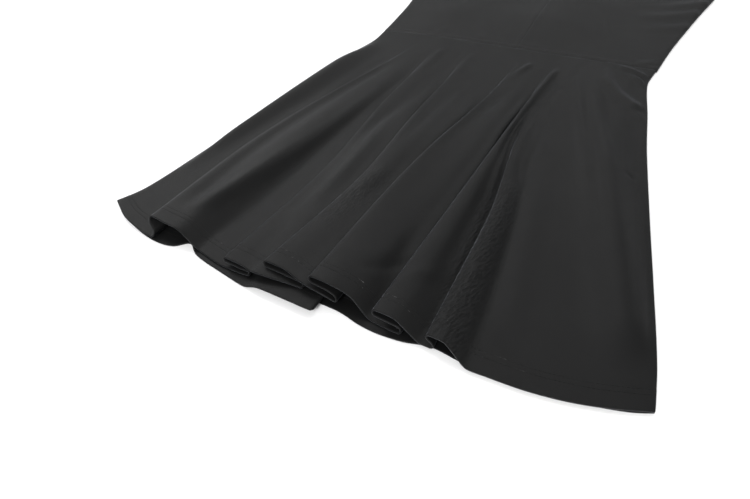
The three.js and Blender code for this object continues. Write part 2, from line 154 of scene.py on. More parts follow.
foldNames = ("seam third twoThirds hem lift tuck shoulder reach rise lowRise landRise "
             "starts lifted tuckStarts nested reachLate kept")
frontSkirt = {
    "folds": table(
        foldNames,
        (-98, -144, -178, -200, 15, 6, 40, 66, 9, -4, 5, 0.04, 0.72, 0.3, False, 0, 0),
        (-75, -82, -79, -97, 8, 28, 26, 52, 4, 0, 1, 0.02, 0.7, 0.34, True, 0, 0.4),
        (-33, -35, -31, -53, 10, 40, 30, 62, 12, 6, 7, 0.02, 0.7, 0.3, True, 0, 0.5),
        (34, 20, 6, -3, 14, 22, 40, 60, 12, 7, 6, 0.02, 0.75, 0.32, False, 0, 0.55),
        (69, 67, 66, 61, 14, 21, 20, 44, 8, 4, 3, 0.03, 0.75, 0.28, False, 0, 0.2),
        (104, 80, 101, 110, 12, 4, 15, 36, 6, 3, -2, 0.28, 0.84, 0.5, False, 3, 0)),
    "left": ((0, 0), (0.08, 0), (0.35, -3), (0.65, -4), (0.88, -4)),
    "first": ((0.5, 0),),
    "right": ((0.12, -2), (0.35, -2), (0.58, -1), (0.8, 0), (0.95, 0), (1, 0)),
    "waves": table("fromX fromY toX toY height width", (104, -30, 208, -300, 3, 16),
                   (150, -60, 248, -395, 2.4, 15)),
    "waveReach": (-0.2, 1.2), "waveGrows": (-0.15, 0.3), "waveEases": (0.75, 1.15),
    "foldRoom": 3, "nestedGrows": (0.15, 0.7), "keptGrows": (0.1, 0.35), "keptEases": (0.72, 0.98),
    "landingMost": 0.6, "columnWidth": 4.2,
    "leastLeft": 0.6, "shareLeft": 0.5, "edgeFade": 9, "sideDip": (0.5, 1.6),
    # places where the cloth has been crushed; this mask gives the wrinkles' bump and also paints their shade
    # and highlights into the colour
    "crushed": table("fromX fromY toX toY bend height width start end",
                     (96, -200, 125, -425, 2, 1, 12, 0.4, 0.01),
                     (-34, -372, -2, -242, -3, 0.35, 14, 0.3, 0.4)),
    # soft ridges, and troughs where the height is negative
    "creases": table(
        "fromX fromY toX toY bend height width start end",
        (-158, -24, -246, -352, 0, 7.5, 15, 0.25, 0.3),      # roll along the left side
        (-94, -62, -165, -395, -13, 3.6, 8.5, 0.4, 0.12),    # the first fold's second crest
        (-120, -60, -179, -400, 6, -3.4, 9, 0.15, 0.12),     # and the hollow between its crests
        (-70, -22, -79, -120, 0, 2.4, 3.4, 0.2, 0.6),        # the folds' crisp tops under the seam
        (-28, -22, -34, -116, 0, 2.6, 3.4, 0.2, 0.6),
        (47, -26, 25, -96, 3, 2.6, 3.4, 0.2, 0.6),
        (75, -28, 67, -120, 0, 2.6, 3.4, 0.2, 0.6),
        (-56, -70, -75, -245, -3, -2.2, 7, 0.3, 0.4),        # hollows right of the folds
        (-14, -60, -22, -235, 2, -2.4, 7, 0.3, 0.4),
        (40, -78, 8, -270, 3, -3.4, 8, 0.25, 0.4),
        (77, -112, 92, -265, 4, 3.2, 6, 0.3, 0.4),           # light rise where the last fold begins
        (86, -76, 103, -250, -2, -1.6, 6, 0.3, 0.3),         # and the hollow right of it
        (25, -387, 67, -341, 4, -1.3, 2.6, 0.35, 0.3),       # slanting crease above the fourth hem stitch
        (16, -378, 58, -332, 4, 0.6, 7, 0.35, 0.4),
        (64, -374, 96, -352, 2, 1.2, 6, 0.3, 0.5),
        (-30, -318, -6, -256, -4, 1.0, 8, 0.4, 0.4),
        (122, -8, 180, -80, 12, 3.6, 7, 0.45, 0.12),         # round the hollow at the right hip, and in it
        (132, -5, 176, -25, -2, 2.4, 2.6, 0.4, 0.12),
        (146, -17, 180, -46, -2, 2.6, 2.8, 0.4, 0.12),
        (150, -78, 192, -102, -5, 1.6, 5, 0.5, 0.12),
        (84, -2, 201, -299, 0, 1.6, 7, 0.25, 0.5),           # soft folds down the wide panel
        (104, -2, 232, -330, 0, 1.3, 7, 0.25, 0.6),
        (104, -34, 217, -322, 0, -1.2, 3.4, 0.25, 0.4),
        (104, -128, 164, -405, 0, 1.6, 11, 0.5, 0.2),        # the wide panel's rise beside the last fold
        (139, -84, 250, -382, 0, 6.5, 18, 0.35, 0.15),       # roll along the right side
        (190, -181, 199, -185, 0, -0.9, 1.1, 0.3, 0.3)),     # a small nick-like tuck near the right side
}
backSkirt = {
    "fold": table(foldNames, (20, 16, 12, 10, 5.6, 50, 60, 76, -9, 2, -10, 0.3, 0.56, 0.58, False, 0, 0))[0],
    "left": ((0, 0), (0.06, -1), (0.25, -4), (0.42, -5), (0.52, -1), (0.59, 9), (0.66, 1), (0.85, -6)),
    "right": ((0.1, 3), (0.22, 3), (0.29, -1), (0.35, -2), (0.42, 0), (0.49, 5), (0.6, 2), (0.8, 1),
              (0.95, 0), (1, 0)),
    "columnWidth": 4.8,
    # where the front is lifted over the fold, how high as a share of it, and how much sooner
    "liftsRight": (4, 22), "liftsLeft": (8, 4), "liftsHigh": 1.04, "liftsSooner": 0.08,
}


def waistY(x):
    return -skirt["waistLow"] - (skirt["waistDrop"] * (x / skirt["waistHalf"])**4 if x < 0 else 0)


def hemY(x):
    return -skirt["length"] + skirt["hemRound"] * min(abs(x) / skirt["hemHalf"], 1)**6 - skirt["waistLow"]


def ridgeX(fold, t):
    rows = table("t x", (0, fold["seam"]), (1 / 3, fold["third"]),
                 (2 / 3, fold["twoThirds"]), (1, fold["hem"]))
    return along(rows, "t", "x", t)


# How far the front is lifted where it lies over the back's fold
def backRise(x, t):
    fold = backSkirt["fold"]
    ridge = ridgeX(fold, t)
    if x > ridge:
        near, far = backSkirt["liftsRight"]
        side = 1 - growOne(x, ridge + near, ridge + far)
    else:
        far, near = backSkirt["liftsLeft"]
        side = growOne(x, ridge - fold["reach"] - far, ridge - fold["shoulder"] - near)
    up = growOne(t, fold["starts"] - backSkirt["liftsSooner"], fold["lifted"])
    return fold["lift"] * backSkirt["liftsHigh"] * side * up


def waveHeight(x, y):
    height = np.zeros_like(x)
    for wave in frontSkirt["waves"]:
        down = np.clip((y - wave["fromY"]) / (wave["toY"] - wave["fromY"]), *frontSkirt["waveReach"])
        across = (x - wave["fromX"] - (wave["toX"] - wave["fromX"]) * down) / wave["width"]
        fade = grow(down, *frontSkirt["waveGrows"]) * (1 - grow(down, *frontSkirt["waveEases"]))
        height += wave["height"] * fade * np.exp(-across * across)
    return height


# The cloth's way from a fold's foot up to its top: an arc, a straight run and an arc back.
# The arc's angle is found by halving, so that the run ends at the lift and the top overhangs by its tuck.
def turnPoints(lift, swing, tuck, flank):
    halvings, shortOfFlat = 40, 0.005
    radius = max(lift * skirt["radiusShare"], skirt["leastRadius"])
    run = mix(max(lift - 2 * radius, 0), flank, -swing)
    low = 0 if swing < 0 else math.pi / 2
    high = low + math.pi / 2 - shortOfFlat
    for _ in range(halvings):
        middle = (low + high) / 2
        sin, cos = math.sin(middle), math.cos(middle)
        left = lift - 2 * radius * (1 - cos)
        if run * sin > left if swing < 0 else -cos * left > swing * tuck * sin:
            high = middle
        else:
            low = middle
    angle = (low + high) / 2
    sin, cos = math.sin(angle), math.cos(angle)
    if swing >= 0:
        run = (lift - 2 * radius * (1 - cos)) / sin
    arc = radius * angle
    whole = 2 * arc + run
    secondX = radius * sin + run * cos

    def at(s):
        if s < arc:
            return radius * math.sin(s / radius), radius * (1 - math.cos(s / radius))
        if s < arc + run:
            return radius * sin + (s - arc) * cos, radius * (1 - cos) + (s - arc) * sin
        left = angle - (s - arc - run) / radius
        lowZ = radius * (1 - cos) + run * sin
        return secondX + radius * (sin - math.sin(left)), lowZ + radius * (math.cos(left) - cos)

    ridge = secondX + (radius * (sin - 1) if angle > math.pi / 2 else 0)
    arcSteps, runSteps = skirt["arcSteps"], skirt["runSteps"]
    steps = 2 * arcSteps + runSteps
    bent = growOne(angle, math.pi / 6, math.pi / 2)
    points = [(-radius - ridge, 0)]
    for k in range(steps + 1):
        focused = arc * k / arcSteps if k <= arcSteps else arc + run * (k - arcSteps) / runSteps
        if k > arcSteps + runSteps:
            focused = arc + run + arc * (k - arcSteps - runSteps) / arcSteps
        x, z = at(mix(whole * k / steps, focused, bent))
        points.append((x - ridge, z))
    return points


def foldAt(fold, t):
    up = growOne(t, fold["starts"], fold["lifted"])
    if t < fold["tuckStarts"]:
        swing = growOne(t, fold["starts"], fold["tuckStarts"]) - 1
    else:
        swing = growOne(t, fold["tuckStarts"], skirt["tuckFull"])
    return ridgeX(fold, t), fold["lift"] * up, swing, mix(skirt["youngSpread"], 1, up)


# A node is x, height, how far the hem is drawn up, and how freely creases show there
def foldNodes(fold, t, side, room, landing):
    ridge, lift, swing, spread = foldAt(fold, t)
    nodes = []
    for x, z in turnPoints(lift, swing, fold["tuck"], skirt["flankWidth"] * spread):
        share = z / lift if lift > 0 else 0
        nodes.append((ridge + side * x, z, mix(fold["lowRise"], fold["rise"], share), 0))
    if fold["reachLate"]:
        spread = mix(skirt["youngSpread"], 1, growOne(t, fold["starts"], 1)**fold["reachLate"])
    narrow = spread * min(1, room / (fold["reach"] * spread))
    end = abs(nodes[-1][0] - ridge)
    shoulder = max(fold["shoulder"] * narrow, end + skirt["leastShoulder"])
    reach = max(fold["reach"] * narrow, shoulder + skirt["leastSlope"])
    nodes.append((ridge + side * (end + shoulder) / 2, lift, fold["rise"], 1))
    nodes.append((ridge + side * shoulder, skirt["shoulderHigh"] * lift, fold["rise"], 1))
    nodes.append((ridge + side * (shoulder + reach) / 2,
                  max(skirt["slopeHigh"] * lift, skirt["slopeOverLanding"] * landing),
                  (fold["rise"] + fold["landRise"]) / 2, 1))
    nodes.append((ridge + side * reach, landing, fold["landRise"], 1))
    return nodes


def between(start, end, flats):
    return [(mix(start, end, share), 0, rise, 1) for share, rise in flats]


def sidesAt(t):
    y = mix(skirt["sides"][0]["y"], skirt["sides"][-1]["y"], t)
    return along(skirt["sides"], "y", "left", y), along(skirt["sides"], "y", "right", y)


def frontNodes(t):
    left, right = sidesAt(t)
    nodes = []
    folds = frontSkirt["folds"]
    for i, fold in enumerate(folds):
        room = math.inf
        landing = 0
        if i + 1 < len(folds):
            after = folds[i + 1]
            afterRidge, afterLift, swing, spread = foldAt(after, t)
            foot = turnPoints(afterLift, swing, after["tuck"], skirt["flankWidth"] * spread)[0][0]
            room = afterRidge + min(foot, 0) - ridgeX(fold, t) - frontSkirt["foldRoom"]
            if swing > 0 and fold["nested"]:
                clear = afterLift * (1 - 2 * skirt["radiusShare"]) - cloth["wall"] - 2 * cloth["gap"]
                landing = max(clear, 0) * growOne(swing, *frontSkirt["nestedGrows"])
        lift = foldAt(fold, t)[1]
        kept = fold["kept"] * lift * growOne(t, *frontSkirt["keptGrows"])
        kept *= 1 - growOne(t, *frontSkirt["keptEases"])
        own = foldNodes(fold, t, 1, room, min(max(landing, kept), lift * frontSkirt["landingMost"]))
        if i == 0:
            nodes += between(left, own[0][0], frontSkirt["left"])
        if i == 1:
            nodes += between(nodes[-1][0], own[0][0], frontSkirt["first"])
        nodes += own
    return nodes + between(nodes[-1][0], right, frontSkirt["right"])


def backNodes(t):
    left, right = sidesAt(t)
    fold = foldNodes(backSkirt["fold"], t, -1, math.inf, 0)[::-1]
    return (between(left, fold[0][0], backSkirt["left"]) + fold
            + between(fold[-1][0], right, backSkirt["right"]))


# Points on a centripetal curve through nodes, the given number of steps in each stretch
def curveThrough(nodes, steps):
    nodes = np.asarray(nodes, dtype=float)
    ghosts = np.vstack((2 * nodes[0] - nodes[1], nodes, 2 * nodes[-1] - nodes[-2]))
    result = [nodes[0]]
    for i, count in enumerate(steps):
        p = ghosts[i:i + 4]
        d = [max(float(np.sum((p[k + 1][:3] - p[k][:3])**2))**0.25, 1e-4) for k in range(3)]
        start = ((p[1] - p[0]) / d[0] - (p[2] - p[0]) / (d[0] + d[1]) + (p[2] - p[1]) / d[1]) * d[1]
        end = ((p[2] - p[1]) / d[1] - (p[3] - p[1]) / (d[1] + d[2]) + (p[3] - p[2]) / d[2]) * d[1]
        for k in range(1, count + 1):
            u = k / count
            result.append(p[1] * (2 * u**3 - 3 * u**2 + 1) + start * (u**3 - 2 * u**2 + u)
                          + p[2] * (3 * u**2 - 2 * u**3) + end * (u**3 - u**2))
    return np.array(result)


# Shares of the skirt's length for its rows, close together at the seam and over the hem's stitches
def skirtShares():
    length, upperRow, closeRows = skirt["length"], skirt["stitchRows"][1], 4
    distances = [0.5, 1.2, 2, 3, 4.3, 6]
    low = length - upperRow - closeRows
    count = math.ceil((low - distances[-1]) / skirt["rowStep"])
    distances += [mix(distances[-1], low, k / count) for k in range(1, count + 1)]
    tail = [3.2, 2.4, 1.6, 0.8, 0, -0.8, -1.6, -2.9, -3.7, -4.5, -5.3, -6.1, -8, -10.5, -13, -15.2, -17, -18]
    distances += [length - upperRow - d for d in tail]
    return [d / length for d in distances]


# Mid-surface of a skirt panel as a grid of points, with its creases' freedom and its shares of the length
def skirtGrid(nodesAt, columnWidth, level, floor):
    def place(node, t):
        x, height, rise, free = node
        y = mix(waistY(x) - cloth["gap"] / 2, hemY(x), t) + rise * t * t
        return (x, y, level + floor(x, t) + height, free)

    hem = [place(node, 1) for node in nodesAt(1)]
    steps = []
    for a, b in zip(hem, hem[1:]):
        steps.append(int(clamp(round(math.dist(a[:3], b[:3]) / columnWidth), 1, skirt["mostSteps"])))
    shares = skirtShares()
    grid = []
    for t in shares:
        row = curveThrough([place(node, t) for node in nodesAt(t)], steps)
        lowest = np.array([level + floor(x, t) for x in row[:, 0]])
        row[:, 2] = np.maximum(row[:, 2], lowest)
        grid.append(row)
    grid = np.array(grid)
    return grid[:, :, :3], np.clip(grid[:, :, 3], 0, 1), np.array(shares)


# Creases show only where nothing lies over the cloth, so they fade where it comes back over itself
def openFade(grid):
    x = grid[:, :, 0]
    leftmostAhead = np.minimum.accumulate(x[:, ::-1], axis=1)[:, ::-1]
    return 1 - grow(x - leftmostAhead, 0, skirt["openRoom"])


# Meshes
def unit(vectors):
    return vectors / np.maximum(np.linalg.norm(vectors, axis=-1, keepdims=True), 1e-9)


# Directions across and down a grid, and its normals, which point up where the cloth lies face up
def gridFrame(grid):
    across = np.empty_like(grid)
    across[:, 1:-1] = grid[:, 2:] - grid[:, :-2]
    across[:, 0] = grid[:, 1] - grid[:, 0]
    across[:, -1] = grid[:, -1] - grid[:, -2]
    down = np.empty_like(grid)
    down[1:-1] = grid[2:] - grid[:-2]
    down[0] = grid[1] - grid[0]
    down[-1] = grid[-1] - grid[-2]
    normal = unit(np.cross(down, across))
    return unit(across), unit(down), normal


def link(name, points, faces, material, uvs=None, masks=None):
    mesh = bpy.data.meshes.new(name)
    mesh.from_pydata(toRow(points).tolist(), [], faces)
    mesh.validate()
    mesh.polygons.foreach_set("use_smooth", [True] * len(mesh.polygons))
    if uvs is not None:
        layer = mesh.uv_layers.new(name="cloth")
        corners = np.empty(len(mesh.loops), dtype=np.int32)
        mesh.loops.foreach_get("vertex_index", corners)
        layer.data.foreach_set("uv", np.asarray(uvs, dtype=np.float32)[corners].ravel())
    for label, values in (masks or {}).items():
        attribute = mesh.attributes.new(label, "FLOAT", "POINT")
        attribute.data.foreach_set("value", np.asarray(values, dtype=np.float32))
    mesh.update()
    piece = bpy.data.objects.new(name, mesh)
    bpy.context.collection.objects.link(piece)
    piece.data.materials.append(material)
    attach(piece, "root")
    return piece


# A thin cloth shell round a grid of mid-surface points, with a rounded rim.
# fan gives the knit's width in each row of a flared piece, as a share of its lower edge.
# over and under are its half thicknesses, one number or one for each point.
def shell(name, grid, material, over, under, masks=None, fan=None):
    high, wide = grid.shape[:2]
    across, down, normal = gridFrame(grid)
    over = np.broadcast_to(np.asarray(over, dtype=float), (high, wide))
    under = np.broadcast_to(np.asarray(under, dtype=float), (high, wide))
    upper = grid + normal * over[..., None]
    lower = grid - normal * under[..., None]
    number = np.arange(high * wide).reshape(high, wide)
    a, b, c, d = number[:-1, :-1], number[1:, :-1], number[1:, 1:], number[:-1, 1:]
    top = np.stack((a, b, c, d), axis=-1).reshape(-1, 4)
    bottom = np.stack((a, d, c, b), axis=-1).reshape(-1, 4) + high * wide
    ring = np.concatenate((number[0, :], number[1:, -1], number[-1, -2::-1], number[-2:0:-1, 0]))
    out = np.zeros((high, wide, 3))
    out[0] -= down[0]
    out[-1] += down[-1]
    out[:, 0] -= across[:, 0]
    out[:, -1] += across[:, -1]
    out = unit(out).reshape(-1, 3)[ring]
    flatGrid, flatNormal = grid.reshape(-1, 3)[ring], normal.reshape(-1, 3)[ring]
    ringOver, ringUnder = over.reshape(-1)[ring][:, None], under.reshape(-1)[ring][:, None]
    layers = []
    for k in range(1, cloth["rim"] + 1):
        angle = math.pi * k / (cloth["rim"] + 1)
        lift = ringOver if angle < math.pi / 2 else ringUnder
        upward = math.copysign(abs(math.cos(angle))**cloth["rimPower"], math.cos(angle))
        layers.append(flatGrid + flatNormal * lift * upward
                      + out * (ringOver + ringUnder) / 2 * math.sin(angle)**cloth["rimPower"])
    points = np.concatenate([upper.reshape(-1, 3), lower.reshape(-1, 3)] + layers)
    bands = [ring] + [2 * high * wide + len(ring) * k + np.arange(len(ring)) for k in range(cloth["rim"])]
    bands.append(ring + high * wide)
    faces = [top, bottom]
    for upperBand, lowerBand in zip(bands, bands[1:]):
        following = np.roll(upperBand, -1)
        faces.append(np.stack((upperBand, following, np.roll(lowerBand, -1), lowerBand), axis=-1))
    acrossLength = np.concatenate((np.zeros((high, 1)),
                                   np.cumsum(np.linalg.norm(np.diff(grid, axis=1), axis=2), axis=1)), axis=1)
    downLength = np.concatenate((np.zeros((1, wide)),
                                 np.cumsum(np.linalg.norm(np.diff(grid, axis=0), axis=2), axis=0)), axis=0)
    if fan is not None:
        acrossLength = np.outer(fan, acrossLength[-1])
    uv = np.stack((acrossLength - acrossLength[:, -1:] / 2, -downLength), axis=-1).reshape(-1, 2) * mm
    uvs = np.concatenate([uv, uv] + [uv[ring]] * cloth["rim"])
    if masks:
        masks = {label: np.concatenate([v.ravel(), v.ravel()] + [v.ravel()[ring]] * cloth["rim"])
                 for label, v in masks.items()}
    piece = link(name, points, np.concatenate(faces).tolist(), material, uvs, masks)
    corner = grid[:-1, :-1]
    squares = np.cross(grid[1:, :-1] - corner, grid[:-1, 1:] - corner)
    area = float(np.sum(np.linalg.norm(squares, axis=2)))
    print(f"{name}: {len(points)} points, lower edge {acrossLength[-1, -1]:.0f} mm, "
          f"length {downLength[-1].mean():.0f} mm, area {area * mm * mm:.3f} m2")
    return piece, upper, normal


# Materials
def socketGroup(name, inputs, outputs):
    group = bpy.data.node_groups.new(name, "ShaderNodeTree")
    for label, kind, value in inputs:
        socket = group.interface.new_socket(name=label, in_out="INPUT", socket_type=kind)
        if value is not None:
            socket.default_value = value
    for label, kind in outputs:
        group.interface.new_socket(name=label, in_out="OUTPUT", socket_type=kind)
    start = group.nodes.new("NodeGroupInput")
    end = group.nodes.new("NodeGroupOutput")
    return group, start, end


def newMaterial(name):
    material = bpy.data.materials.new(name)
    material.use_nodes = True
    return material, material.node_tree, material.node_tree.nodes["Principled BSDF"]


def setSockets(made, values):
    for key, value in values.items():
        made.inputs[key].default_value = value


def node(tree, kind, settings=None, values=None, **links):
    made = tree.nodes.new(kind)
    for key, value in (settings or {}).items():
        setattr(made, key, value)
    setSockets(made, values or {})
    for key, source in links.items():
        tree.links.new(source, made.inputs[key.replace("_", " ")])
    return made


def maths(tree, operation, first, second=None):
    made = tree.nodes.new("ShaderNodeMath")
    made.operation = operation
    for i, value in enumerate((first, second)):
        if value is None:
            continue
        if isinstance(value, (int, float)):
            made.inputs[i].default_value = value
        else:
            tree.links.new(value, made.inputs[i])
    return made.outputs[0]


knitLoops = {"slant": 1.1, "wales": 0.6, "courses": 0.4, "tone": 0.25}


# Fine rows of knitted stitches, in wales along the cloth and courses across it
def knitFaceGroup():
    group, start, end = socketGroup(
        "knitFace",
        (("Wales", "NodeSocketFloat", 1100.0), ("Courses", "NodeSocketFloat", 1500.0),
         ("Fuzz", "NodeSocketFloat", 0.4)),
        (("Height", "NodeSocketFloat"), ("Tone", "NodeSocketFloat")))
    place = node(group, "ShaderNodeUVMap", {"uv_map": "cloth"})
    split = node(group, "ShaderNodeSeparateXYZ", Vector=place.outputs["UV"])
    across = maths(group, "MULTIPLY", split.outputs["X"], start.outputs["Wales"])
    downward = maths(group, "MULTIPLY", split.outputs["Y"], start.outputs["Courses"])
    zigzag = maths(group, "PINGPONG", across, 0.5)
    wale = maths(group, "SINE", maths(group, "MULTIPLY", zigzag, 2 * math.pi))
    slanted = maths(group, "ADD", downward, maths(group, "MULTIPLY", zigzag, knitLoops["slant"]))
    course = maths(group, "SINE", maths(group, "MULTIPLY", slanted, 2 * math.pi))
    loops = maths(group, "ADD", maths(group, "MULTIPLY", wale, knitLoops["wales"]),
                  maths(group, "MULTIPLY", course, knitLoops["courses"]))
    coordinates = node(group, "ShaderNodeTexCoord")
    fuzz = node(group, "ShaderNodeTexNoise", values={"Scale": 900.0, "Detail": 4.0, "Roughness": 0.7},
                Vector=coordinates.outputs["Object"])
    hair = maths(group, "MULTIPLY", fuzz.outputs["Fac"], start.outputs["Fuzz"])
    group.links.new(maths(group, "ADD", loops, hair), end.inputs["Height"])
    shade = maths(group, "MULTIPLY", loops, knitLoops["tone"])
    group.links.new(maths(group, "ADD", shade, fuzz.outputs["Fac"]), end.inputs["Tone"])
    return group


# Slow changes in how dark and how smooth the cloth is, from handling and pressing
def handlingGroup():
    group, start, end = socketGroup(
        "handling", (("Scale", "NodeSocketFloat", 18.0), ("Spread", "NodeSocketFloat", 1.0)),
        (("Tone", "NodeSocketFloat"), ("Patches", "NodeSocketFloat")))
    finer = 7.0
    coordinates = node(group, "ShaderNodeTexCoord")
    broad = node(group, "ShaderNodeTexNoise", values={"Detail": 3.0, "Roughness": 0.55, "Distortion": 0.6},
                 Vector=coordinates.outputs["Object"], Scale=start.outputs["Scale"])
    close = node(group, "ShaderNodeTexNoise", values={"Detail": 5.0, "Roughness": 0.6},
                 Vector=coordinates.outputs["Object"],
                 Scale=maths(group, "MULTIPLY", start.outputs["Scale"], finer))
    centred = maths(group, "SUBTRACT", broad.outputs["Fac"], 0.5)
    tone = maths(group, "ADD", maths(group, "MULTIPLY", centred, start.outputs["Spread"]), 0.5)
    group.links.new(tone, end.inputs["Tone"])
    group.links.new(close.outputs["Fac"], end.inputs["Patches"])
    return group


# Short broken wrinkles, as where the cloth has been crushed
def crushGroup():
    group, start, end = socketGroup(
        "crush", (("Amount", "NodeSocketFloat", 0.0), ("Scale", "NodeSocketFloat", 430.0)),
        (("Height", "NodeSocketFloat"),))
    place = node(group, "ShaderNodeUVMap", {"uv_map": "cloth"})
    stretch = node(group, "ShaderNodeMapping", values={"Scale": (1.0, 0.45, 1.0), "Rotation": (0, 0, -0.6)},
                   Vector=place.outputs["UV"])
    cells = node(group, "ShaderNodeTexVoronoi", {"feature": "SMOOTH_F1"}, {"Smoothness": 0.6},
                 Vector=stretch.outputs["Vector"], Scale=start.outputs["Scale"])
    lines = node(group, "ShaderNodeTexNoise", values={"Detail": 4.0, "Roughness": 0.65, "Distortion": 1.2},
                 Vector=stretch.outputs["Vector"], Scale=start.outputs["Scale"])
    both = maths(group, "ADD", cells.outputs["Distance"], lines.outputs["Fac"])
    steep = node(group, "ShaderNodeMapRange",
                 values={"From Min": 0.8, "From Max": 1.2, "To Min": -0.3, "To Max": 1.1}, Value=both)
    height = maths(group, "MULTIPLY", steep.outputs["Result"], start.outputs["Amount"])
    group.links.new(height, end.inputs["Height"])
    return group


knitFace, handling, crush = knitFaceGroup(), handlingGroup(), crushGroup()

# wrinkleShadeTone sets how much of the crushed wrinkles' height is painted into the colour: painted shade in
# their hollows, painted highlights on their crests
knitLook = {"dark": (0.0025, 0.0026, 0.0026), "light": (0.0062, 0.0063, 0.0064), "rough": (0.37, 0.48),
            "sheen": 0.12, "sheenRough": 0.28, "sheenTint": (0.85, 0.9, 1.0), "specular": 0.15,
            "grain": 0.42, "grainDeep": 0.00016, "handlingTone": 0.7, "faceTone": 0.3, "wrinkleShadeTone": 1.8}
bodiceLook = dict(knitLook, light=(0.0066, 0.0067, 0.0068))
# The thread's light colour is a painted highlight: pale glints, shown in broken spots near the listed places
threadLook = {"dark": (0.009, 0.009, 0.0092), "light": (0.16, 0.16, 0.16), "rough": 0.6, "sheen": 0.03,
              "specular": 0.1, "paintedGlint": (0.52, 0.62)}


# Base colour between a look's dark and its light
def colourBetween(tree, principled, look, share):
    colour = node(tree, "ShaderNodeMix", {"data_type": "RGBA"})
    colour.inputs[6].default_value = (*look["dark"], 1)
    colour.inputs[7].default_value = (*look["light"], 1)
    tree.links.new(share, colour.inputs[0])
    tree.links.new(colour.outputs[2], principled.inputs["Base Color"])


def blackKnit(name, look, crushed=0.0):
    material, tree, principled = newMaterial(name)
    face = node(tree, "ShaderNodeGroup", {"node_tree": knitFace})
    slow = node(tree, "ShaderNodeGroup", {"node_tree": handling})
    tone = maths(tree, "ADD", maths(tree, "MULTIPLY", slow.outputs["Tone"], look["handlingTone"]),
                 maths(tree, "MULTIPLY", face.outputs["Tone"], look["faceTone"]))
    height = face.outputs["Height"]
    if crushed:
        mask = node(tree, "ShaderNodeAttribute", {"attribute_name": "crushed"})
        wrinkles = node(tree, "ShaderNodeGroup", {"node_tree": crush}, Amount=mask.outputs["Fac"])
        wrinkled = wrinkles.outputs["Height"]
        # Painted shade and highlights: the colour follows the wrinkle height, darker in the hollows and
        # lighter on the crests, over a crushed pile that is lighter of its own
        tone = maths(tree, "ADD", tone, maths(tree, "MULTIPLY", wrinkled, look["wrinkleShadeTone"]))
        height = maths(tree, "ADD", height, maths(tree, "MULTIPLY", wrinkled, crushed))
    colourBetween(tree, principled, look, tone)
    rough = node(tree, "ShaderNodeMapRange", values={"To Min": look["rough"][0], "To Max": look["rough"][1]},
                 Value=slow.outputs["Patches"])
    tree.links.new(rough.outputs["Result"], principled.inputs["Roughness"])
    bump = node(tree, "ShaderNodeBump", values={"Strength": look["grain"], "Distance": look["grainDeep"]},
                Height=height)
    tree.links.new(bump.outputs["Normal"], principled.inputs["Normal"])
    setSockets(principled, {"Specular IOR Level": look["specular"], "Sheen Weight": look["sheen"],
                            "Sheen Roughness": look["sheenRough"], "Sheen Tint": (*look["sheenTint"], 1)})
    return material


def sewingThread(name, look):
    material, tree, principled = newMaterial(name)
    coordinates = node(tree, "ShaderNodeTexCoord")
    spots = node(tree, "ShaderNodeTexNoise", values={"Scale": 420.0, "Detail": 2.0},
                 Vector=coordinates.outputs["Object"])
    broken = node(tree, "ShaderNodeMapRange", {"interpolation_type": "SMOOTHSTEP"},
                  {"From Min": look["paintedGlint"][0], "From Max": look["paintedGlint"][1]}, Value=spots.outputs["Fac"])
    # Painted highlight mask: the pale glints show only near the listed places
    glintMask = node(tree, "ShaderNodeAttribute", {"attribute_name": "glintMask"})
    paintedGlint = maths(tree, "MULTIPLY", broken.outputs["Result"], glintMask.outputs["Fac"])
    colourBetween(tree, principled, look, paintedGlint)
    twist = node(tree, "ShaderNodeTexWave", values={"Scale": 900.0, "Distortion": 1.0},
                 Vector=coordinates.outputs["Object"])
    bump = node(tree, "ShaderNodeBump", values={"Strength": 0.4, "Distance": 0.0001},
                Height=twist.outputs["Fac"])
    tree.links.new(bump.outputs["Normal"], principled.inputs["Normal"])
    setSockets(principled, {"Roughness": look["rough"], "Sheen Weight": look["sheen"],
                            "Specular IOR Level": look["specular"]})
    return material


skirtKnit = blackKnit("skirtKnit", knitLook, crushed=9.0)
bodiceKnit = blackKnit("bodiceKnit", bodiceLook)
thread = sewingThread("sewingThread", threadLook)
print("materials made")

# Stitches
stitchSize = {"long": 2.5, "pitch": 3.3, "wide": 0.46, "high": 0.3, "proud": 0.3, "sides": 6,
              "rings": ((-0.5, 0.3), (-0.36, 1.0), (0.36, 1.0), (0.5, 0.3))}

# Places on the hem's thread where pale glints are painted in as highlights
glintPlaces = table("x y", (-43, -395), (-34, -397), (-21, -400), (-4, -396), (19, -394), (33, -394),
                   (40, -395), (63, -396), (73, -396), (84, -401), (114, -399), (118, -400), (152, -411),
                   (168, -404), (182, -409), (8, -423), (-118, -402), (-196, -393))
glintReach = 3.6


def lengthsAlong(line):
    return np.concatenate(([0], np.cumsum(np.linalg.norm(np.diff(line, axis=0), axis=1))))


def placeAt(distance, lengths, line):
    return np.array([np.interp(distance, lengths, line[:, k]) for k in range(3)])


# A row of stitches lying on the cloth along a line of points with their normals
def stitchRow(line, normals, size):
    lengths = lengthsAlong(line)
    centres = np.arange(size["pitch"], lengths[-1] - size["pitch"] / 2, size["pitch"])
    rings, stepAhead = size["rings"], 0.5
    points, faces = [], []
    for centre in centres:
        at = placeAt(centre, lengths, line)
        up = unit(placeAt(centre, lengths, normals))
        forward = unit(placeAt(centre + stepAhead, lengths, line) - at)
        side = unit(np.cross(up, forward))
        first = len(points)
        for place, scale in rings:
            for k in range(size["sides"]):
                angle = 2 * math.pi * k / size["sides"]
                high = math.sin(angle) * size["high"] / 2 * scale + size["high"] * size["proud"] * scale
                points.append(at + forward * place * size["long"]
                              + side * math.cos(angle) * size["wide"] / 2 * scale + up * high)
        n = size["sides"]
        for r in range(len(rings) - 1):
            for k in range(n):
                a, b = first + r * n + k, first + r * n + (k + 1) % n
                faces.append((a, b, b + n, a + n))
        faces.append(tuple(range(first + n - 1, first - 1, -1)))
        faces.append(tuple(range(first + 3 * n, first + 4 * n)))
    return points, faces


